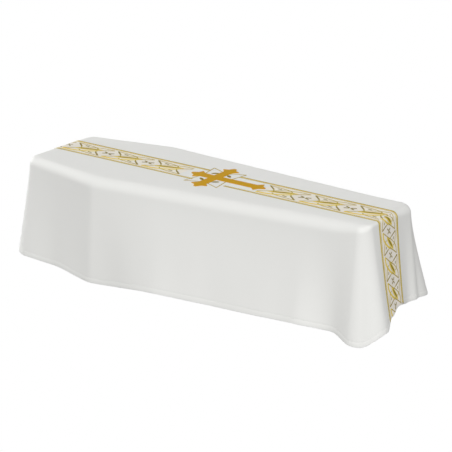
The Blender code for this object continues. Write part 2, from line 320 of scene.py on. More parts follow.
class Drape:
    """The hang of the cloth, worked out from its sizes: where each point of the flat sheet lies."""

    def __init__(self, scene):
        self.sizes = scene.pall_sizes
        self.seed = scene.pall_view.seed
        self.stretches, self.around = self.outline()
        self.stations = self.hem_stations()

    def outline(self):
        """The top's edge as six bends, each followed by its straight side, with running lengths."""
        sizes = self.sizes
        head, foot = -sizes.length / 2, sizes.length / 2
        shoulder = head + sizes.shoulder_from_head
        near = [(head, sizes.head_width), (shoulder, sizes.shoulder_width), (foot, sizes.foot_width)]
        corners = [Vector((x, -width / 2)) for x, width in near]
        corners[NEAR_FOOT].x += sizes.near_foot_further
        corners += [Vector((x, width / 2)) for x, width in reversed(near)]
        bends = []
        for index, corner in enumerate(corners):
            before = (corner - corners[index - 1]).normalized()
            after = (corners[(index + 1) % len(corners)] - corner).normalized()
            turn = math.atan2(before.cross(after), before.dot(after))
            is_shoulder = index in (NEAR_SHOULDER, FAR_SHOULDER)
            radius = sizes.shoulder_radius if is_shoulder else sizes.end_corner_radius
            setback = radius * math.tan(turn / 2)
            first, last = corner - before * setback, corner + after * setback
            outward = Vector((before.y, -before.x))
            angle = math.atan2(outward.y, outward.x)
            bends.append((first - outward * radius, radius, angle, turn, first, last))
        stretches = []
        running = 0.0
        for index, (centre, radius, angle, turn, _, last) in enumerate(bends):
            stretches.append(Bend(running, radius * turn, centre, radius, angle))
            running += radius * turn
            reach = bends[(index + 1) % len(bends)][4] - last
            stretches.append(Side(running, reach.length, last, reach.normalized()))
            running += reach.length
        return stretches, running

    def stretch(self, corner, kind):
        """A corner's bend, or the straight side after it."""
        return self.stretches[2 * corner + (kind == "side")]

    def edge(self, along):
        """The point of the top's edge at a running length, and the direction outward from it."""
        along %= self.around
        stretch = [piece for piece in self.stretches if piece.start <= along + EDGE_ROUNDING][-1]
        if isinstance(stretch, Bend):
            angle = stretch.angle + (along - stretch.start) / stretch.radius
            outward = Vector((math.cos(angle), math.sin(angle)))
            return stretch.centre + outward * stretch.radius, outward
        point = stretch.point + stretch.direction * (along - stretch.start)
        return point, Vector((stretch.direction.y, -stretch.direction.x))

    def hem_stations(self):
        """HEM's rows as (running length, (reach, drop, radius)), with one more before and after them."""
        rows = []
        for hem in HEM:
            stretch = self.stretch(hem.corner, hem.stretch)
            rows.append((stretch.start + hem.fraction * stretch.length, (hem.reach, hem.drop, hem.radius)))
        first, last = rows[0], rows[-1]
        return [(last[0] - self.around, last[1]), *rows, (first[0] + self.around, first[1])]

    def hem(self, along):
        """The hem's reach and drop and the edge's radius at a running length, eased between HEM's rows."""
        along %= self.around
        for (start, here), (end, there) in zip(self.stations, self.stations[1:]):
            if along <= end:
                t = (along - start) / (end - start)
                ease = t * t * (3 - 2 * t)
                return [first + (last - first) * ease for first, last in zip(here, there)]
        raise ValueError("no hem there")

    def travel_to_hem(self, along):
        """How far it is over the cloth from the flat top's rim to the hem."""
        _, drop, radius = self.hem(along)
        return drop + radius * (math.pi / 2 - 1)

    def unevenness(self, x, y):
        """How far the flat top lies above or below its plane, as cloth on a board does."""
        wave = noise.noise(Vector((x * TOP_WAVES[0], y * TOP_WAVES[1], self.seed)))
        return self.sizes.top_ripple * wave

    def outer(self, along, travel):
        """A point of the cloth's outer face: round at a running length, and some way down from the rim."""
        sizes = self.sizes
        edge, outward = self.edge(along)
        reach, drop, radius = self.hem(along)
        quarter = radius * math.pi / 2
        if travel <= quarter:
            angle = max(travel, 0.0) / radius
            out = radius * (math.sin(angle) - 1) + min(travel, 0.0)
            down = radius * (1 - math.cos(angle))
        else:
            t = (travel - quarter) / (drop - radius)
            out = reach * t**sizes.flare_power
            down = radius + t * (drop - radius)
            slack = sizes.ripple * min(t, 1.0) ** SLACK_GROWTH
            waves = Vector((edge.x * SLACK_WAVES, edge.y * SLACK_WAVES, self.seed + SLACK_CHANGE * t))
            out += slack * noise.noise(waves)
            out += self.hem_relief(drop - down)
        flat = edge + outward * out
        fade = max(0.0, 1.0 - max(travel, 0.0) / TOP_WAVES_FADE)
        return Vector((*flat, sizes.top_height - down + self.unevenness(edge.x, edge.y) * fade))

    def hem_relief(self, above_hem):
        """The doubled hem stands out a little, and its row of stitches draws the cloth in."""
        depth = self.sizes.hem_depth
        groove = -HEM_GROOVE * math.exp(-(((above_hem - depth) / GROOVE_WIDTH) ** 2))
        swell = HEM_SWELL * math.sin(math.pi * above_hem / depth) if 0 < above_hem < depth else 0.0
        return groove + swell

    def end_along(self, end, y):
        """The running length on the head end's or foot end's edge where it crosses a line along the cloth."""
        side = self.stretch(FAR_HEAD if end < 0 else NEAR_FOOT, "side")
        return side.start + (y - side.point.y) / side.direction.y

    def flat_end(self, end, y):
        """How far the flat part of the top runs from the middle to one end, along a line."""
        along = self.end_along(end, y)
        return abs(self.edge(along)[0].x) - self.hem(along)[2]

    def border_middle(self, length):
        """Where the middle of the border lies across the top: a little askew, and straight down both ends."""
        sizes = self.sizes
        part = min(max(length / sizes.length + 0.5, 0.0), 1.0)
        return sizes.border_at_head + (sizes.border_at_foot - sizes.border_at_head) * part

    def on_border(self, length, across):
        """A point of the cloth's outer face, by its way along the border and its distance from the middle."""
        y = self.border_middle(length) + across
        end = math.copysign(1, length)
        if abs(length) > SURELY_FLAT:
            travel = abs(length) - self.flat_end(end, y)
            if travel > 0:
                return self.outer(self.end_along(end, y), travel)
        return Vector((length, y, self.sizes.top_height + self.unevenness(length, y)))

    def end_of_border(self, end, across):
        """How far the border runs at one end: to just above the hem."""
        y = self.border_middle(end * self.sizes.length / 2) + across
        return self.flat_end(end, y) + self.travel_to_hem(self.end_along(end, y))

    def facing(self, length, across):
        """The direction out of the cloth at a place on the border."""
        step = 0.002
        lengthwise = self.on_border(length + step, across) - self.on_border(length - step, across)
        crosswise = self.on_border(length, across + step) - self.on_border(length, across - step)
        return lengthwise.cross(crosswise).normalized()


# Mesh helpers


def mesh_object(name, points, faces, uvs, material):
    """A smooth mesh that rides on the pall's body, with one UV in metres for each point."""
    mesh = bpy.data.meshes.new(name)
    mesh.from_pydata([tuple(point) for point in points], [], faces)
    layer = mesh.uv_layers.new(name="UVMap")
    for loop in mesh.loops:
        layer.data[loop.index].uv = uvs[loop.vertex_index]
    mesh.materials.append(material)
    mesh.shade_smooth()
    obj = bpy.data.objects.new(name, mesh)
    bpy.context.scene.collection.objects.link(obj)
    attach(obj, BODY)
    return obj


def share(start, stop, steps):
    """Even steps from a start to a stop, with both."""
    return [start + (stop - start) * step / steps for step in range(steps + 1)]


class Needlework:
    """Gathers raised strips and leaves on the cloth into one mesh."""

    def __init__(self, drape):
        self.drape = drape
        self.points = []
        self.faces = []
        self.uvs = []

    def short_of_hem(self, place):
        """The place, moved back along the border if it would pass the hem."""
        length, across = place
        limit = self.drape.end_of_border(math.copysign(1, length), across) - HEM_CLEARANCE
        return math.copysign(min(abs(length), limit), length), across

    def strip(self, places, width, height, profile=SATIN, closed=False):
        """A raised strip along places on the border, each (way along, distance across)."""
        if not closed:
            places = self.cut_at_hem(places)
        if len(places) < 2:
            return
        first = len(self.points)
        run = 0.0
        count = len(places)
        spots = [self.drape.on_border(*place) for place in places]
        for index, (place, spot) in enumerate(zip(places, spots)):
            ahead = spots[(index + 1) % count] if closed or index + 1 < count else spot
            behind = spots[index - 1] if closed or index else spot
            facing = self.drape.facing(*place)
            side = facing.cross(ahead - behind).normalized()
            if index:
                run += (spot - spots[index - 1]).length
            for across, rise in profile:
                self.points.append(spot + side * (width * across) + facing * (LIFT + height * rise))
                self.uvs.append((run, width * across))
        steps = len(profile)
        for index in range(count if closed else count - 1):
            here, there = first + index * steps, first + (index + 1) % count * steps
            for step in range(steps - 1):
                self.faces.append((here + step + 1, here + step, there + step, there + step + 1))
        if not closed:
            self.faces.append(tuple(first + step for step in range(steps)))
            self.faces.append(tuple(first + (count - 1) * steps + step for step in reversed(range(steps))))

    def cut_at_hem(self, places):
        """The places as far as the hem, with the last one on it."""
        kept = []
        for place in places:
            end = self.short_of_hem(place)
            kept.append(end)
            if abs(end[0] - place[0]) > HELD_BACK:
                break
        if len(kept) > 1 and max(abs(last - before) for last, before in zip(kept[-1], kept[-2])) < SAME_PLACE:
            kept.pop()
        return kept

    def panel(self, rows, height, crown):
        """A filled shape from rows of places, raised in its middle by the crown."""
        first = len(self.points)
        width = len(rows[0])
        for row in rows:
            for index, place in enumerate(row):
                spot = self.drape.on_border(*place)
                bulge = math.sin(math.pi * index / (width - 1))
                self.points.append(spot + self.drape.facing(*place) * (LIFT + height + crown * bulge))
                self.uvs.append(place)
        for row in range(len(rows) - 1):
            here, there = first + row * width, first + (row + 1) * width
            for step in range(width - 1):
                self.faces.append((here + step, there + step, there + step + 1, here + step + 1))

    def finish(self, name, material):
        """All that was gathered, as one piece."""
        return mesh_object(name, self.points, self.faces, self.uvs, material)


# Materials


def add_node(material, kind, inputs=None, **settings):
    """Adds one node to a material's tree, makes its settings and fills or links its inputs."""
    tree = material.node_tree
    node = tree.nodes.new(kind)
    for name, value in settings.items():
        setattr(node, name, value)
    for name, value in (inputs or {}).items():
        if isinstance(value, bpy.types.NodeSocket):
            tree.links.new(value, node.inputs[name])
        else:
            node.inputs[name].default_value = value
    return node


def new_material(name, **finish):
    """A material and its Principled shader, whose sockets are set by name, or no shader if it is there."""
    material = bpy.data.materials.get(name)
    if material:
        return material, None
    material = bpy.data.materials.new(name)
    material.use_nodes = True
    shader = material.node_tree.nodes["Principled BSDF"]
    for socket, value in finish.items():
        shader.inputs[socket.replace("_", " ")].default_value = value
    return material, shader


def wave_scale(pitch):
    """The scale at which Blender's wave texture repeats once in a pitch, in metres."""
    return math.pi / 10 / pitch


def dress(material, shader, shares, low, high, height=None, strength=0.0, depth=0.0):
    """Colours a material from one colour to the other by a pattern, and raises it by a height."""
    links = material.node_tree.links
    mixed = add_node(
        material, "ShaderNodeMix", {"Factor": shares, "A": (*low, 1.0), "B": (*high, 1.0)}, data_type="RGBA"
    )
    links.new(mixed.outputs["Result"], shader.inputs["Base Color"])
    if height is not None:
        relief = {"Strength": strength, "Distance": depth, "Height": height}
        links.new(add_node(material, "ShaderNodeBump", relief).outputs["Normal"], shader.inputs["Normal"])
    return material


# Patterns that don't repeat, by how many there are to a metre. The grain is drawn at 3.3 mm, about ten
# times as coarse as it is, so that it can show
SLUBS_PER_METRE = 55.0
CLOUDS_PER_METRE = 3.0
GRAINS_PER_METRE = 300.0

# From thread to thread, all drawn coarser than life so that they can show: the real threads are 0.4 mm
# apart, the lines of the twill 0.7 mm and the twist of the sewing thread 0.4 mm
BROCADE_PITCH = 0.0024
BRAID_PITCH = 0.0030
NEEDLEWORK_PITCH = 0.0012
FILLING_PITCH = 0.0030
TWILL_PITCH = 0.0028
TWIST_PITCH = 0.0008


def woven_brocade(colours):
    """Satin-faced polyester brocade: soft white with a low sheen, and a fine even weave seen close to."""
    material, shader = new_material(
        "white_satin_brocade", Roughness=0.62, IOR=1.46, Sheen_Weight=0.12, Sheen_Roughness=0.45
    )
    if shader is None:
        return material
    place = add_node(material, "ShaderNodeUVMap").outputs["UV"]
    warp, weft = (
        add_node(
            material, "ShaderNodeTexWave",
            {"Vector": place, "Scale": wave_scale(BROCADE_PITCH), "Distortion": 0.4},
            bands_direction=direction,
        ).outputs["Fac"]
        for direction in ("X", "Y")
    )
    weave = add_node(material, "ShaderNodeMath", {0: warp, 1: weft}, operation="MULTIPLY").outputs[0]
    slub = add_node(
        material, "ShaderNodeTexNoise",
        {"Vector": place, "Scale": SLUBS_PER_METRE, "Detail": 4.0, "Roughness": 0.6},
    )
    height = add_node(
        material, "ShaderNodeMath", {0: slub.outputs["Fac"], 1: 0.8, 2: weave}, operation="MULTIPLY_ADD"
    )
    cloud = add_node(
        material, "ShaderNodeTexNoise", {"Vector": place, "Scale": CLOUDS_PER_METRE, "Detail": 3.0}
    )
    # Painted shade: the weave mixes the darker white of its dips into the cloth, more or less by the clouds,
    # a random tone
    shares = add_node(material, "ShaderNodeMath", {0: cloud.outputs["Fac"], 1: weave}, operation="MULTIPLY")
    return dress(
        material, shader, shares.outputs[0], colours.cloth, colours.cloth_painted_shade,
        height.outputs[0], strength=0.16, depth=0.0004,
    )


def laid_thread(name, ridge, gap, pitch, metallic=0.15, roughness=0.50):
    """Thread laid side by side across a line, with a soft glint from its finish and stripes of two colours,
    one along each thread and one in the gap beside it: where they differ, the lighter stripe is a painted
    glint and the darker painted shade.
    """
    material, shader = new_material(name, Metallic=metallic, Roughness=roughness)
    if shader is None:
        return material
    place = add_node(material, "ShaderNodeUVMap").outputs["UV"]
    ribs = add_node(
        material, "ShaderNodeTexWave",
        {"Vector": place, "Scale": wave_scale(pitch), "Distortion": 0.8, "Detail": 1.0},
        bands_direction="X",
    ).outputs["Fac"]
    # The ribs mix the two colours: a painted glint in the lighter stripe and painted shade in the darker
    return dress(material, shader, ribs, gap, ridge, ribs, strength=0.5, depth=0.0005)


def gold_braid(colours):
    """Woven braid of gilt thread: old-gold ribs with a painted glint of brighter gold between them."""
    return laid_thread("gilt_thread_braid", colours.old_thread, colours.thread, BRAID_PITCH)


def gold_needlework(colours):
    """Gilt embroidery thread in satin stitch: a painted glint along each thread, and painted shade of darker
    gold between.
    """
    return laid_thread("gilt_satin_stitch", colours.thread, colours.old_thread, NEEDLEWORK_PITCH)


def dark_needlework(colours):
    """Old-gold thread in dense satin stitch, the darkest marks of the interlace."""
    return laid_thread("old_gold_satin_stitch", colours.old_thread, colours.old_thread, NEEDLEWORK_PITCH)


def bright_needlework(colours):
    """Yellow-gold rayon thread in broad satin stitch: even and bright, as rayon has no metal in it, with
    painted shade of deeper gold between its threads.
    """
    bright = colours.bright_thread
    return laid_thread("bright_gold_satin_stitch", bright, colours.thread, NEEDLEWORK_PITCH, metallic=0.0)


def pale_needlework(colours):
    """Cream rayon thread as open filling: a warm cast over the white, with faint ribs."""
    pale = colours.pale_thread
    return laid_thread(
        "pale_gold_filling_stitch", pale, pale, FILLING_PITCH, metallic=0.0, roughness=0.55
    )


def gold_cloth(colours):
    """Gold lame: a flat metallised weft on a fine twill, with a broad soft glint."""
    material, shader = new_material(
        "gold_lame_twill", Metallic=0.20, Roughness=0.50, Specular_IOR_Level=0.25
    )
    if shader is None:
        return material
    place = add_node(material, "ShaderNodeUVMap").outputs["UV"]
    twill = add_node(
        material, "ShaderNodeTexWave",
        {"Vector": place, "Scale": wave_scale(TWILL_PITCH), "Distortion": 0.5},
        bands_direction="DIAGONAL",
    ).outputs["Fac"]
    grain = add_node(
        material, "ShaderNodeTexNoise", {"Vector": place, "Scale": GRAINS_PER_METRE, "Detail": 2.0}
    )
    height = add_node(
        material, "ShaderNodeMath", {0: grain.outputs["Fac"], 1: 0.5, 2: twill}, operation="MULTIPLY_ADD"
    )
    # Painted shade: the twill mixes up to 0.35 of the darker gold of its dips into the cross's gold
    shares = add_node(material, "ShaderNodeMath", {0: twill, 1: 0.35}, operation="MULTIPLY")
    return dress(
        material, shader, shares.outputs[0], colours.gold, colours.gold_painted_shade,
        height.outputs[0], strength=0.35, depth=0.0004,
    )


def white_thread(colours):
    """Spun polyester sewing thread: matt, with painted shade along its twist, a touch darker than the cloth.
    """
    material, shader = new_material("white_sewing_thread", Roughness=0.75, IOR=1.46)
    if shader is None:
        return material
    place = add_node(material, "ShaderNodeUVMap").outputs["UV"]
    twist = add_node(
        material, "ShaderNodeTexWave", {"Vector": place, "Scale": wave_scale(TWIST_PITCH)},
        bands_direction="DIAGONAL",
    )
    # Painted shade: the twist mixes the darker white into the thread's colour
    return dress(material, shader, twist.outputs["Fac"], colours.cloth, colours.cloth_painted_shade)


def studio_white():
    """Evenly lit white paper, the same from every side."""
    material, _ = new_material(
        "white_studio_paper", Roughness=1.0, Base_Color=(0.0, 0.0, 0.0, 1.0), Specular_IOR_Level=0.0,
        Emission_Color=(1.0, 1.0, 1.0, 1.0), Emission_Strength=1.0,
    )
    return material


# Pieces

# The mesh of the cloth: columns round its edge, rows down its sides and up behind the hem, and the top's net
CORNER_STEPS = 30
SHOULDER_STEPS = 8
COLUMN_SPACING = 0.010
ROUNDING_STEPS = 8
ROW_SPACING = 0.0115
HEM_ROWS = (0.040, 0.033, 0.029, 0.0265, 0.024, 0.0215, 0.019, 0.014, 0.009, 0.004, 0.0)
SIDE_ROWS = round((max(hem.drop for hem in HEM) - HEM_ROWS[0]) / ROW_SPACING)
FOLD_RADIUS = 0.0015
FOLD_STEPS = 4
TURNED_UP_ROWS = (0.008, 0.016, 0.023)
TOP_SPACING = 0.024
TOP_MARGIN = 0.010
NET_ROUNDING = 1e-7


def cloth_columns(drape):
    """The running lengths at which the cloth has a column of points, once round its edge."""
    columns = []
    for index, stretch in enumerate(drape.stretches):
        if isinstance(stretch, Side):
            steps = round(stretch.length / COLUMN_SPACING)
        else:
            corner = index // 2
            steps = SHOULDER_STEPS if corner in (NEAR_SHOULDER, FAR_SHOULDER) else CORNER_STEPS
        columns += share(stretch.start, stretch.start + stretch.length, steps)[:-1]
    return columns


def turned_up(hem, inner_way, up_way):
    """The doubled hem's inside: round the fold, then up behind the face as far as the stitches."""
    centre = hem + inner_way * FOLD_RADIUS
    points = []
    for step in range(1, FOLD_STEPS + 1):
        angle = math.pi * step / FOLD_STEPS
        inward, down = FOLD_RADIUS * math.cos(angle), FOLD_RADIUS * math.sin(angle)
        points.append(centre - inner_way * inward - up_way * down)
    return points + [points[-1] + up_way * above for above in TURNED_UP_ROWS]


def cloth_section(drape, along):
    """The cloth from the top's rim down and up behind its hem, and how far over the cloth each point is."""
    hem_at = drape.travel_to_hem(along)
    quarter = drape.hem(along)[2] * math.pi / 2
    travels = share(0.0, quarter, ROUNDING_STEPS)
    travels += share(quarter, hem_at - HEM_ROWS[0], SIDE_ROWS)[1:]
    travels += [hem_at - above for above in HEM_ROWS[1:]]
    section = [drape.outer(along, travel) for travel in travels]
    outward = Vector((*drape.edge(along)[1], 0.0))
    up_way = (section[-2] - section[-1]).normalized()
    inner_way = -(outward - up_way * up_way.dot(outward)).normalized()
    section += turned_up(section[-1], inner_way, up_way)
    travels += [hem_at + FOLD_RADIUS * step for step in range(1, FOLD_STEPS + 1)]
    travels += [travels[-1] + above for above in TURNED_UP_ROWS]
    return section, travels


def make_cloth(scene):
    """The whole pall as one thin sheet with a turned-up hem."""
    drape = Drape(scene)
    points, uvs, rims = [], [], []
    for along in cloth_columns(drape):
        edge, outward = drape.edge(along)
        radius = drape.hem(along)[2]
        section, travels = cloth_section(drape, along)
        rims.append(len(points))
        points += section
        uvs += [tuple(edge + outward * (travel - radius)) for travel in travels]
    faces = [
        (here + row, here + row + 1, there + row + 1, there + row)
        for here, there in zip(rims, rims[1:] + rims[:1])
        for row in range(rims[1] - 1)
    ]
    add_top(drape, points, uvs, faces, rims)
    cloth = mesh_object("pall_sheet", points, faces, uvs, woven_brocade(scene.pall_colours))
    sheet = cloth.modifiers.new("one layer", "SOLIDIFY")
    sheet.thickness = drape.sizes.cloth_thickness
    sheet.offset = -1
    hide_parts("pall_cloth")


def add_top(drape, points, uvs, faces, rims):
    """Fills the flat top inside its rim with an even net of points."""
    rim = [Vector(points[index][:2]) for index in rims]
    plane = list(rim)
    half_length = drape.sizes.length / 2
    half_width = drape.sizes.shoulder_width / 2
    for across in share(-half_width, half_width, round(2 * half_width / TOP_SPACING)):
        for length in share(-half_length, half_length, round(2 * half_length / TOP_SPACING)):
            spot = Vector((length, across))
            if inside(spot, rim) and min((spot - other).length for other in rim) > TOP_MARGIN:
                plane.append(spot)
    loop = list(range(len(rim)))
    spots, _, triangles, origins, _, _ = delaunay_2d_cdt(plane, [], [loop], 1, NET_ROUNDING)
    at = []
    for spot, origin in zip(spots, origins):
        if origin and origin[0] < len(rim):
            at.append(rims[origin[0]])
            continue
        at.append(len(points))
        points.append(Vector((*spot, drape.sizes.top_height + drape.unevenness(*spot))))
        uvs.append(tuple(spot))
    faces += [tuple(at[corner] for corner in triangle) for triangle in triangles]


def inside(spot, rim):
    """Whether a spot lies inside a closed outline."""
    found = False
    for here, there in zip(rim, rim[1:] + rim[:1]):
        if (here.y > spot.y) != (there.y > spot.y):
            found ^= spot.x < (there.x - here.x) * (spot.y - here.y) / (there.y - here.y) + here.x
    return found


# The running stitches along the hem: half their width, how far they stand out, half their length as part of
# the pitch, the part of their length that slopes at each end, and how far up the cloth's own slope is read
STITCH_HALF_WIDTH = 0.0005
STITCH_RISE = 0.0005
STITCH_HALF = 0.34
STITCH_SLOPE = 0.25
STITCH_READ = 0.002


def make_hem_stitches(scene):
    """Running stitches of white thread along the doubled hem."""
    drape = Drape(scene)
    sizes = drape.sizes
    count = round(drape.around / sizes.stitch_pitch)
    points, faces, uvs = [], [], []
    for index in range(count):
        middle = drape.around * (index + 0.5) / count
        half = drape.around / count * STITCH_HALF
        ends = []
        for along in (middle - half, middle + half):
            travel = drape.travel_to_hem(along) - sizes.hem_depth
            ends.append((drape.outer(along, travel), drape.outer(along, travel - STITCH_READ)))
        (start, start_up), (stop, _) = ends
        way = stop - start
        up = (start_up - start).normalized()
        aside = up * STITCH_HALF_WIDTH
        slope, lifted = way * STITCH_SLOPE, way.cross(up).normalized() * STITCH_RISE
        first = len(points)
        points += [start - aside, stop - aside, stop + aside, start + aside]
        points += [start + slope + lifted, stop - slope + lifted]
        low, right, far, left, near_top, far_top = range(first, first + 6)
        faces += [(low, right, far_top, near_top), (far, left, near_top, far_top)]
        faces += [(right, far, far_top), (left, low, near_top), (left, far, right, low)]
        across = 2 * STITCH_HALF_WIDTH
        uvs += [(middle - half, 0), (middle + half, 0), (middle + half, across), (middle - half, across)]
        uvs += [(middle, STITCH_HALF_WIDTH)] * 2
    stitches = mesh_object("hem_stitches", points, faces, uvs, white_thread(scene.pall_colours))


# The braids and the lines beside them: how far apart their points are, how many there are over the end's
# edge, and how high each stands. The line inside a braid is thinner than the others, the star's thicker
RUN_SPACING = 0.012
EDGE_STEPS = 8
BRAID_HEIGHT = 0.0010
INNER_LINE_HEIGHT = 0.0005
RIBBON_HEIGHT = 0.0003
INNER_LINE_PART = 0.7
STAR_LINE_PART = 1.5


def border_run(drape, braid, across):
    """Places beside a braid, from where it starts out to the hem, at a distance from the border's middle."""
    end = braid.end
    across *= braid.side
    y = drape.border_middle(end * drape.sizes.length / 2) + across
    flat_end, radius = drape.flat_end(end, y), drape.hem(drape.end_along(end, y))[2]
    stop = drape.end_of_border(end, across) * end
    steps = max(1, round(abs(stop - braid.stops_at) / RUN_SPACING))
    bend = [end * (flat_end + radius * math.pi / 2 * step / EDGE_STEPS) for step in range(EDGE_STEPS + 1)]
    over_edge = [way * end for way in (bend[0], bend[-1])]
    lengths = share(braid.stops_at, stop, steps)
    run = [length for length in lengths if not over_edge[0] < length * end < over_edge[1]]
    return [(length, across) for length in sorted(run + bend, key=lambda length: length * end)]


def make_braids(scene):
    """The four gold braids that edge the border."""
    drape = Drape(scene)
    sizes = drape.sizes
    for braid in BRAIDS:
        work = Needlework(drape)
        places = border_run(drape, braid, sizes.braid_out)
        work.strip(places, sizes.braid_width, BRAID_HEIGHT, FLAT_BRAID)
        piece = work.finish(braid.node + "_woven", gold_braid(scene.pall_colours))
        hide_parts(braid.node)


def make_inner_lines(scene):
    """A bright ribbon beside each braid, and a thin line of needlework a little further in."""
    drape = Drape(scene)
    sizes = drape.sizes
    lines, ribbons = Needlework(drape), Needlework(drape)
    for braid in BRAIDS:
        line = border_run(drape, braid, sizes.inner_line_out)
        lines.strip(line, sizes.line_width * INNER_LINE_PART, INNER_LINE_HEIGHT)
        ribbon = border_run(drape, braid, sizes.ribbon_out)
        ribbons.strip(ribbon, sizes.ribbon_width, RIBBON_HEIGHT)
    lines.finish("inner_lines", gold_needlework(scene.pall_colours))
    ribbons.finish("inner_ribbons", bright_needlework(scene.pall_colours))


# How close the points of a stitched line are, by what it draws
STROKE_SPACING = 0.008
EYE_SPACING = 0.005
OUTLINE_SPACING = 0.010


def refined(points, spacing):
    """A line through some points with more points between them, so that it follows the cloth."""
    places = [points[0]]
    for here, there in zip(points, points[1:]):
        steps = max(1, math.ceil(math.dist(here, there) / spacing))
        places += list(zip(share(here[0], there[0], steps), share(here[1], there[1], steps)))[1:]
    return places


def placed(repeat, points, turned):
    """Points of a half repeat as places on the border, cut to the part of the repeat that is worked."""
    sign = -1 if turned else 1
    spots = sorted((sign * part, sign * across) for part, across in points)
    kept = []
    for here, there in zip(spots, spots[1:]):
        low, high = max(here[0], repeat.first), min(there[0], repeat.last)
        if low >= high:
            continue
        for part in (low, high):
            across = here[1] + (there[1] - here[1]) * (part - here[0]) / (there[0] - here[0])
            if not kept or kept[-1] != (part, across):
                kept.append((part, across))
    return [(repeat.leaf_at + part * repeat.length, across) for part, across in kept]


def make_interlace(scene):
    """The needlework between the braids: ribbons that cross, leaves along them, and a flower in each eye."""
    drape = Drape(scene)
    threads = {kind: Needlework(drape) for kind in ("line", "dark", "satin")}
    for repeat in INTERLACE:
        for turned in (False, True):
            for stroke in HALF_REPEAT:
                places = placed(repeat, stroke.points, turned)
                if len(places) < 2:
                    continue
                # A ribbon is filled along its near side, and only outlined along its far one
                outlined = turned and stroke.thread == "satin"
                work = threads["line" if outlined else stroke.thread]
                width = OUTLINE_WIDTH if outlined else stroke.width
                work.strip(refined(places, STROKE_SPACING), width * breadth(repeat), STITCH_HEIGHT)
        add_leaf(threads["dark"], repeat, DARK_LEAF)
        add_leaf(threads["satin"], repeat, BRIGHT_LEAF)
        add_eye(threads["dark"], repeat)
    colours = scene.pall_colours
    for kind, name, material in (
        ("line", "interlace_lines", gold_needlework(colours)),
        ("dark", "interlace_leaves", dark_needlework(colours)),
        ("satin", "interlace_filling", bright_needlework(colours)),
    ):
        threads[kind].finish(name, material)


def make_ground(scene):
    """The cream ground of open filling stitch, at both ends from a slanted bar's tip out to the hem."""
    drape = Drape(scene)
    work = Needlework(drape)
    for end in (-1, 1):
        repeats = [repeat for repeat in INTERLACE if repeat.leaf_at * end > 0]
        first = min(repeats, key=lambda repeat: repeat.leaf_at * end)
        start = first.leaf_at - end * SLANTED_BAR.points[-1][0] * first.length
        acrosses = share(-GROUND_HALF, GROUND_HALF, GROUND_ACROSS)
        stops = [end * (drape.end_of_border(end, across) - HEM_CLEARANCE) for across in acrosses]
        count = round(abs(stops[0] - start) / GROUND_SPACING)
        rows = [
            [(start + (stop - start) * step / count, across) for across, stop in zip(acrosses, stops)]
            for step in range(count + 1)
        ]
        work.panel(rows if end > 0 else rows[::-1], GROUND_SUNK, 0.0)
    work.finish("border_ground", pale_needlework(scene.pall_colours))


def reaches_hem(drape, length, across):
    """Whether a place on the border lies too close to the hem for a leaf or a petal."""
    end = math.copysign(1, length)
    return abs(length) > drape.end_of_border(end, across) - HEM_CLEARANCE


def breadth(repeat):
    """How much broader than on the shortest repeat a line is: the long repeats are drawn out."""
    return math.sqrt(repeat.length / SHORT_REPEAT)


def taper(step, fullness):
    """The part of a leaf's width that is left from its middle, 0, to a tip, 1."""
    return max(1 - step * step, 0.0) ** fullness


def add_leaf(work, repeat, leaf):
    """A filled pointed leaf that lies aslant on the middle of a repeat."""
    rows = []
    for step in share(-1.0, 1.0, LEAF_STEPS):
        part = step * leaf.half_length
        if not repeat.first <= part <= repeat.last:
            continue
        middle = leaf.above + step * leaf.rise
        half = leaf.half_width * taper(step, LEAF_TAPER)
        length = repeat.leaf_at + part * repeat.length
        if reaches_hem(work.drape, length, middle):
            break
        rows.append([(length, middle + half * side) for side in ACROSS_LEAF])
    if len(rows) > 1:
        work.panel(rows, leaf.base, leaf.crown)


def add_eye(work, repeat):
    """The small flower of four petals in the middle of the eye after a repeat."""
    if repeat.last < 0.5:
        return
    middle = repeat.leaf_at + repeat.length / 2
    stretch = repeat.length / SHORT_REPEAT
    for turn in range(4):
        angle = math.pi / 4 + turn * math.pi / 2
        places = [
            (middle + math.cos(angle) * out * stretch, math.sin(angle) * out)
            for out in (EYE_GAP * EYE_PETAL, EYE_PETAL)
        ]
        if not any(reaches_hem(work.drape, *place) for place in places):
            work.strip(refined(places, EYE_SPACING), PETAL_WIDTH * breadth(repeat), STITCH_HEIGHT)


def cross_outline(sizes):
    """The outline of a Latin cross whose arms end in three-pointed tips, its foot arm along +X."""
    arms = (sizes.cross_foot_arm, sizes.cross_side_arm, sizes.cross_head_arm, sizes.cross_side_arm)
    points = []
    for quarter, arm in enumerate(arms):
        far_side = [(arm - tip.back, tip.out) for tip in reversed(CROSS_TIP)]
        near_side = [(arm - tip.back, -tip.out) for tip in CROSS_TIP]
        turn = math.pi / 2 * quarter
        for x, y in [(sizes.cross_arm_half, -sizes.cross_arm_half), *near_side, *far_side]:
            along = math.cos(turn) * x - math.sin(turn) * y
            across = math.sin(turn) * x + math.cos(turn) * y
            points.append((along, across))
    return points


# The cross's cloth: how thick it is, how far in and how high its middle rises, and its corded edge
CROSS_THICK = 0.0010
CROSS_INSET = 0.0040
CROSS_CROWN = 0.0006
CORD_WIDTH = 0.0042
CORD_HEIGHT = 0.0019
SHARP_ANGLE = math.radians(50)


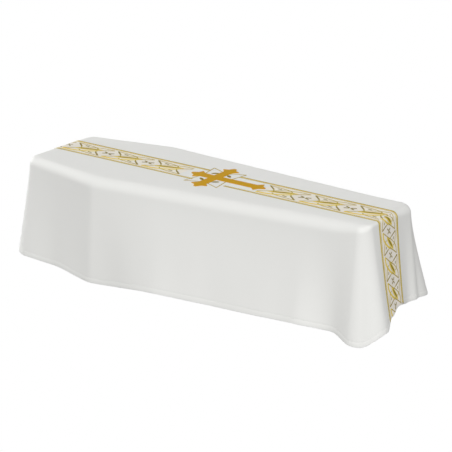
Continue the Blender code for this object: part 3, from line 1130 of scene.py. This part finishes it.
def make_cross(scene):
    """The cross of gold cloth, with a corded satin-stitch edge."""
    drape = Drape(scene)
    sizes = drape.sizes
    outline = [(sizes.cross_at + along, across) for along, across in cross_outline(sizes)]
    editing = bmesh.new()
    base = [editing.verts.new(drape.on_border(*place)) for place in outline]
    face = editing.faces.new(base)
    grown = bmesh.ops.extrude_face_region(editing, geom=[face])
    raised = [item for item in grown["geom"] if isinstance(item, bmesh.types.BMVert)]
    top = [item for item in grown["geom"] if isinstance(item, bmesh.types.BMFace)]
    bmesh.ops.translate(editing, verts=raised, vec=(0.0, 0.0, CROSS_THICK))
    bmesh.ops.inset_region(
        editing, faces=top, thickness=CROSS_INSET, depth=CROSS_CROWN, use_even_offset=True
    )
    bmesh.ops.recalc_face_normals(editing, faces=editing.faces)
    bmesh.ops.translate(editing, verts=editing.verts, vec=(0.0, 0.0, LIFT))
    editing.verts.index_update()
    points = [vert.co.copy() for vert in editing.verts]
    faces = [tuple(vert.index for vert in face.verts) for face in editing.faces]
    editing.free()
    uvs = [tuple(point[:2]) for point in points]
    cross = mesh_object("cross_lame", points, faces, uvs, gold_cloth(scene.pall_colours))
    cross.data.set_sharp_from_angle(angle=SHARP_ANGLE)
    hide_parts("cross")
    edge = Needlework(drape)
    once_round = refined([*outline, outline[0]], OUTLINE_SPACING)[:-1]
    edge.strip(once_round, CORD_WIDTH, CORD_HEIGHT, closed=True)
    edge.finish("cross_edge", gold_cloth(scene.pall_colours))


def make_star(scene):
    """A star of stitched lines behind the cross, and a petal in each quarter of it."""
    drape = Drape(scene)
    sizes = drape.sizes
    lines, petals = Needlework(drape), Needlework(drape)
    for along, across in ((1, 1), (-1, 1), (-1, -1), (1, -1)):
        tip = (sizes.cross_at + along * STAR_TIP[0], across * STAR_TIP[1])
        for hollow in ((along * STAR_HOLLOW[0], 0.0), (0.0, across * STAR_HOLLOW[1])):
            side = [tip, (sizes.cross_at + hollow[0], hollow[1])]
            lines.strip(refined(side, OUTLINE_SPACING), sizes.line_width * STAR_LINE_PART, STITCH_HEIGHT)
        add_petal(petals, sizes.cross_at, along, across)
    lines.finish("star_lines", gold_needlework(scene.pall_colours))
    petals.finish("star_petals", dark_needlework(scene.pall_colours))


def add_petal(work, cross_at, along, across):
    """A filled oval that lies across the diagonal of one quarter."""
    middle = Vector((along * PETAL_AT[0], across * PETAL_AT[1]))
    out = middle.normalized()
    beside = Vector((-out.y, out.x))
    rows = []
    for step in share(-1.0, 1.0, PETAL_STEPS):
        centre = middle + beside * (PETAL_HALF[0] * step)
        half = PETAL_HALF[1] * taper(step, PETAL_TAPER)
        row = [centre + out * (half * side) for side in reversed(ACROSS_LEAF)]
        rows.append([(cross_at + spot.x, spot.y) for spot in row])
    work.panel(rows, PETAL_HEIGHT, PETAL_CROWN)


# The stage: where each light comes from, its spread in degrees, and the sizes of the paper all round
KEY_FROM = (0.49, -0.64, 0.59)
KEY_SPREAD = 30.0
SIDE_FROM = (-0.95, 0.20, 0.15)
SIDE_SPREAD = 25.0
LIGHT_AWAY = 5.0
FLOOR_HEIGHT = -0.62
FLOOR_HALF = 28.0
BACKDROP_RADIUS = 30.0
SEES_AS_FAR_AS = 200.0


def make_stage(scene):
    """White paper all round, the camera, two broad soft lights and an even fill."""
    view = scene.pall_view
    editing = bmesh.new()
    bmesh.ops.create_grid(editing, x_segments=1, y_segments=1, size=FLOOR_HALF)
    bmesh.ops.translate(editing, verts=editing.verts, vec=(0.0, 0.0, FLOOR_HEIGHT))
    add_stage_object("floor", editing)
    editing = bmesh.new()
    bmesh.ops.create_uvsphere(editing, u_segments=32, v_segments=16, radius=BACKDROP_RADIUS)
    add_stage_object("backdrop", editing)
    scene.world = scene.world or bpy.data.worlds.new("World")
    scene.world.use_nodes = True
    sky = scene.world.node_tree.nodes["Background"]
    sky.inputs["Color"].default_value = (1.0, 1.0, 1.0, 1.0)
    sky.inputs["Strength"].default_value = view.sky
    add_light("key_light", KEY_FROM, KEY_SPREAD, view.key_strength)
    add_light("side_light", SIDE_FROM, SIDE_SPREAD, view.side_strength)
    add_camera(scene, view)
    scene.view_settings.view_transform = "Standard"


def add_stage_object(name, editing):
    """A sheet of the white paper, which only the camera sees."""
    mesh = bpy.data.meshes.new(name)
    editing.to_mesh(mesh)
    editing.free()
    mesh.materials.append(studio_white())
    obj = bpy.data.objects.new(name, mesh)
    bpy.context.scene.collection.objects.link(obj)
    obj.visible_diffuse = False
    obj.visible_glossy = False
    obj.visible_shadow = False


def add_light(name, comes_from, spread, strength):
    """An even light from far away, as soft as its spread, an angle in degrees."""
    light = bpy.data.lights.new(name, "SUN")
    light.energy = strength
    light.angle = math.radians(spread)
    obj = bpy.data.objects.new(name, light)
    obj.location = Vector(comes_from) * LIGHT_AWAY
    obj.rotation_euler = Vector(comes_from).to_track_quat("Z", "Y").to_euler()
    bpy.context.scene.collection.objects.link(obj)


def add_camera(scene, view):
    """The camera, turned to the middle of the picture."""
    camera = bpy.data.cameras.new("camera")
    camera.lens = view.focal_length
    camera.clip_end = SEES_AS_FAR_AS
    obj = bpy.data.objects.new("camera", camera)
    flat = math.cos(view.elevation)
    back = Vector(
        (math.sin(view.azimuth) * flat, -math.cos(view.azimuth) * flat, math.sin(view.elevation))
    )
    obj.location = Vector(view.looks_at) + back * view.distance
    obj.rotation_euler = (-back).to_track_quat("-Z", "Y").to_euler()
    scene.collection.objects.link(obj)
    scene.camera = obj


# Where the cloth's fall is measured, from the start of each side
FALL_AT = {NEAR_SHOULDER: 0.8, FAR_HEAD: 0.2, NEAR_FOOT: 0.2}


def declare_cloth(scene):
    """Works out how far the cloth runs down to its hem at a few places along its sides; nothing is kept or
    said.
    """
    drape = Drape(scene)
    for corner, way in FALL_AT.items():
        along = drape.stretch(corner, "side").start + way
        drape.travel_to_hem(along) - drape.hem(along)[2]


# Buttons


class PALL_OT_cloth(bpy.types.Operator):
    """Make the white cloth of the pall"""

    bl_idname = "pall.cloth"
    bl_label = "Cloth"

    def execute(self, context):
        make_cloth(context.scene)
        return {"FINISHED"}


class PALL_OT_hem_stitches(bpy.types.Operator):
    """Sew the hem with white stitches"""

    bl_idname = "pall.hem_stitches"
    bl_label = "Hem stitches"

    def execute(self, context):
        make_hem_stitches(context.scene)
        return {"FINISHED"}


class PALL_OT_braids(bpy.types.Operator):
    """Sew on the gold braids, with a bright ribbon and a thin line inside each"""

    bl_idname = "pall.braids"
    bl_label = "Braids"

    def execute(self, context):
        make_braids(context.scene)
        make_inner_lines(context.scene)
        return {"FINISHED"}


class PALL_OT_interlace(bpy.types.Operator):
    """Embroider the interlace between the braids"""

    bl_idname = "pall.interlace"
    bl_label = "Interlace"

    def execute(self, context):
        make_ground(context.scene)
        make_interlace(context.scene)
        return {"FINISHED"}


class PALL_OT_cross(bpy.types.Operator):
    """Sew on the gold cross, and embroider the star behind it"""

    bl_idname = "pall.cross"
    bl_label = "Cross"

    def execute(self, context):
        make_cross(context.scene)
        make_star(context.scene)
        return {"FINISHED"}


class PALL_OT_declare(bpy.types.Operator):
    """Work out how far the cloth runs down to its hem at a few places"""

    bl_idname = "pall.declare"
    bl_label = "Flat size"

    def execute(self, context):
        declare_cloth(context.scene)
        return {"FINISHED"}


class PALL_OT_stage(bpy.types.Operator):
    """Set up the white stage, the lights and the camera"""

    bl_idname = "pall.stage"
    bl_label = "Stage"

    def execute(self, context):
        make_stage(context.scene)
        return {"FINISHED"}


OPERATORS = (
    PALL_OT_cloth,
    PALL_OT_hem_stitches,
    PALL_OT_braids,
    PALL_OT_interlace,
    PALL_OT_cross,
    PALL_OT_declare,
    PALL_OT_stage,
)


class PALL_PT_panel(bpy.types.Panel):
    """Buttons for the pieces of the pall, and its sizes and colours"""

    bl_idname = "PALL_PT_panel"
    bl_label = "Funeral Pall"
    bl_space_type = "VIEW_3D"
    bl_region_type = "UI"
    bl_category = "Pall"

    def draw(self, context):
        for operator in OPERATORS:
            self.layout.operator(operator.bl_idname)
        scene = context.scene
        for group in (scene.pall_sizes, scene.pall_colours, scene.pall_view):
            box = self.layout.box()
            for name in group.bl_rna.properties.keys():
                if name not in ("rna_type", "name"):
                    box.prop(group, name)


GROUPS = {"pall_sizes": PallSizes, "pall_colours": PallColours, "pall_view": PallView}
CLASSES = (*GROUPS.values(), *OPERATORS, PALL_PT_panel)


def register():
    for cls in CLASSES:
        bpy.utils.register_class(cls)
    for name, group in GROUPS.items():
        setattr(bpy.types.Scene, name, PointerProperty(type=group))


def unregister():
    for name in GROUPS:
        delattr(bpy.types.Scene, name)
    for cls in reversed(CLASSES):
        bpy.utils.unregister_class(cls)


def main():
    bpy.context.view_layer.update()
    register()
    for operator in OPERATORS:
        space, name = operator.bl_idname.split(".")
        getattr(getattr(bpy.ops, space), name)()


if __name__ == "__main__":
    main()
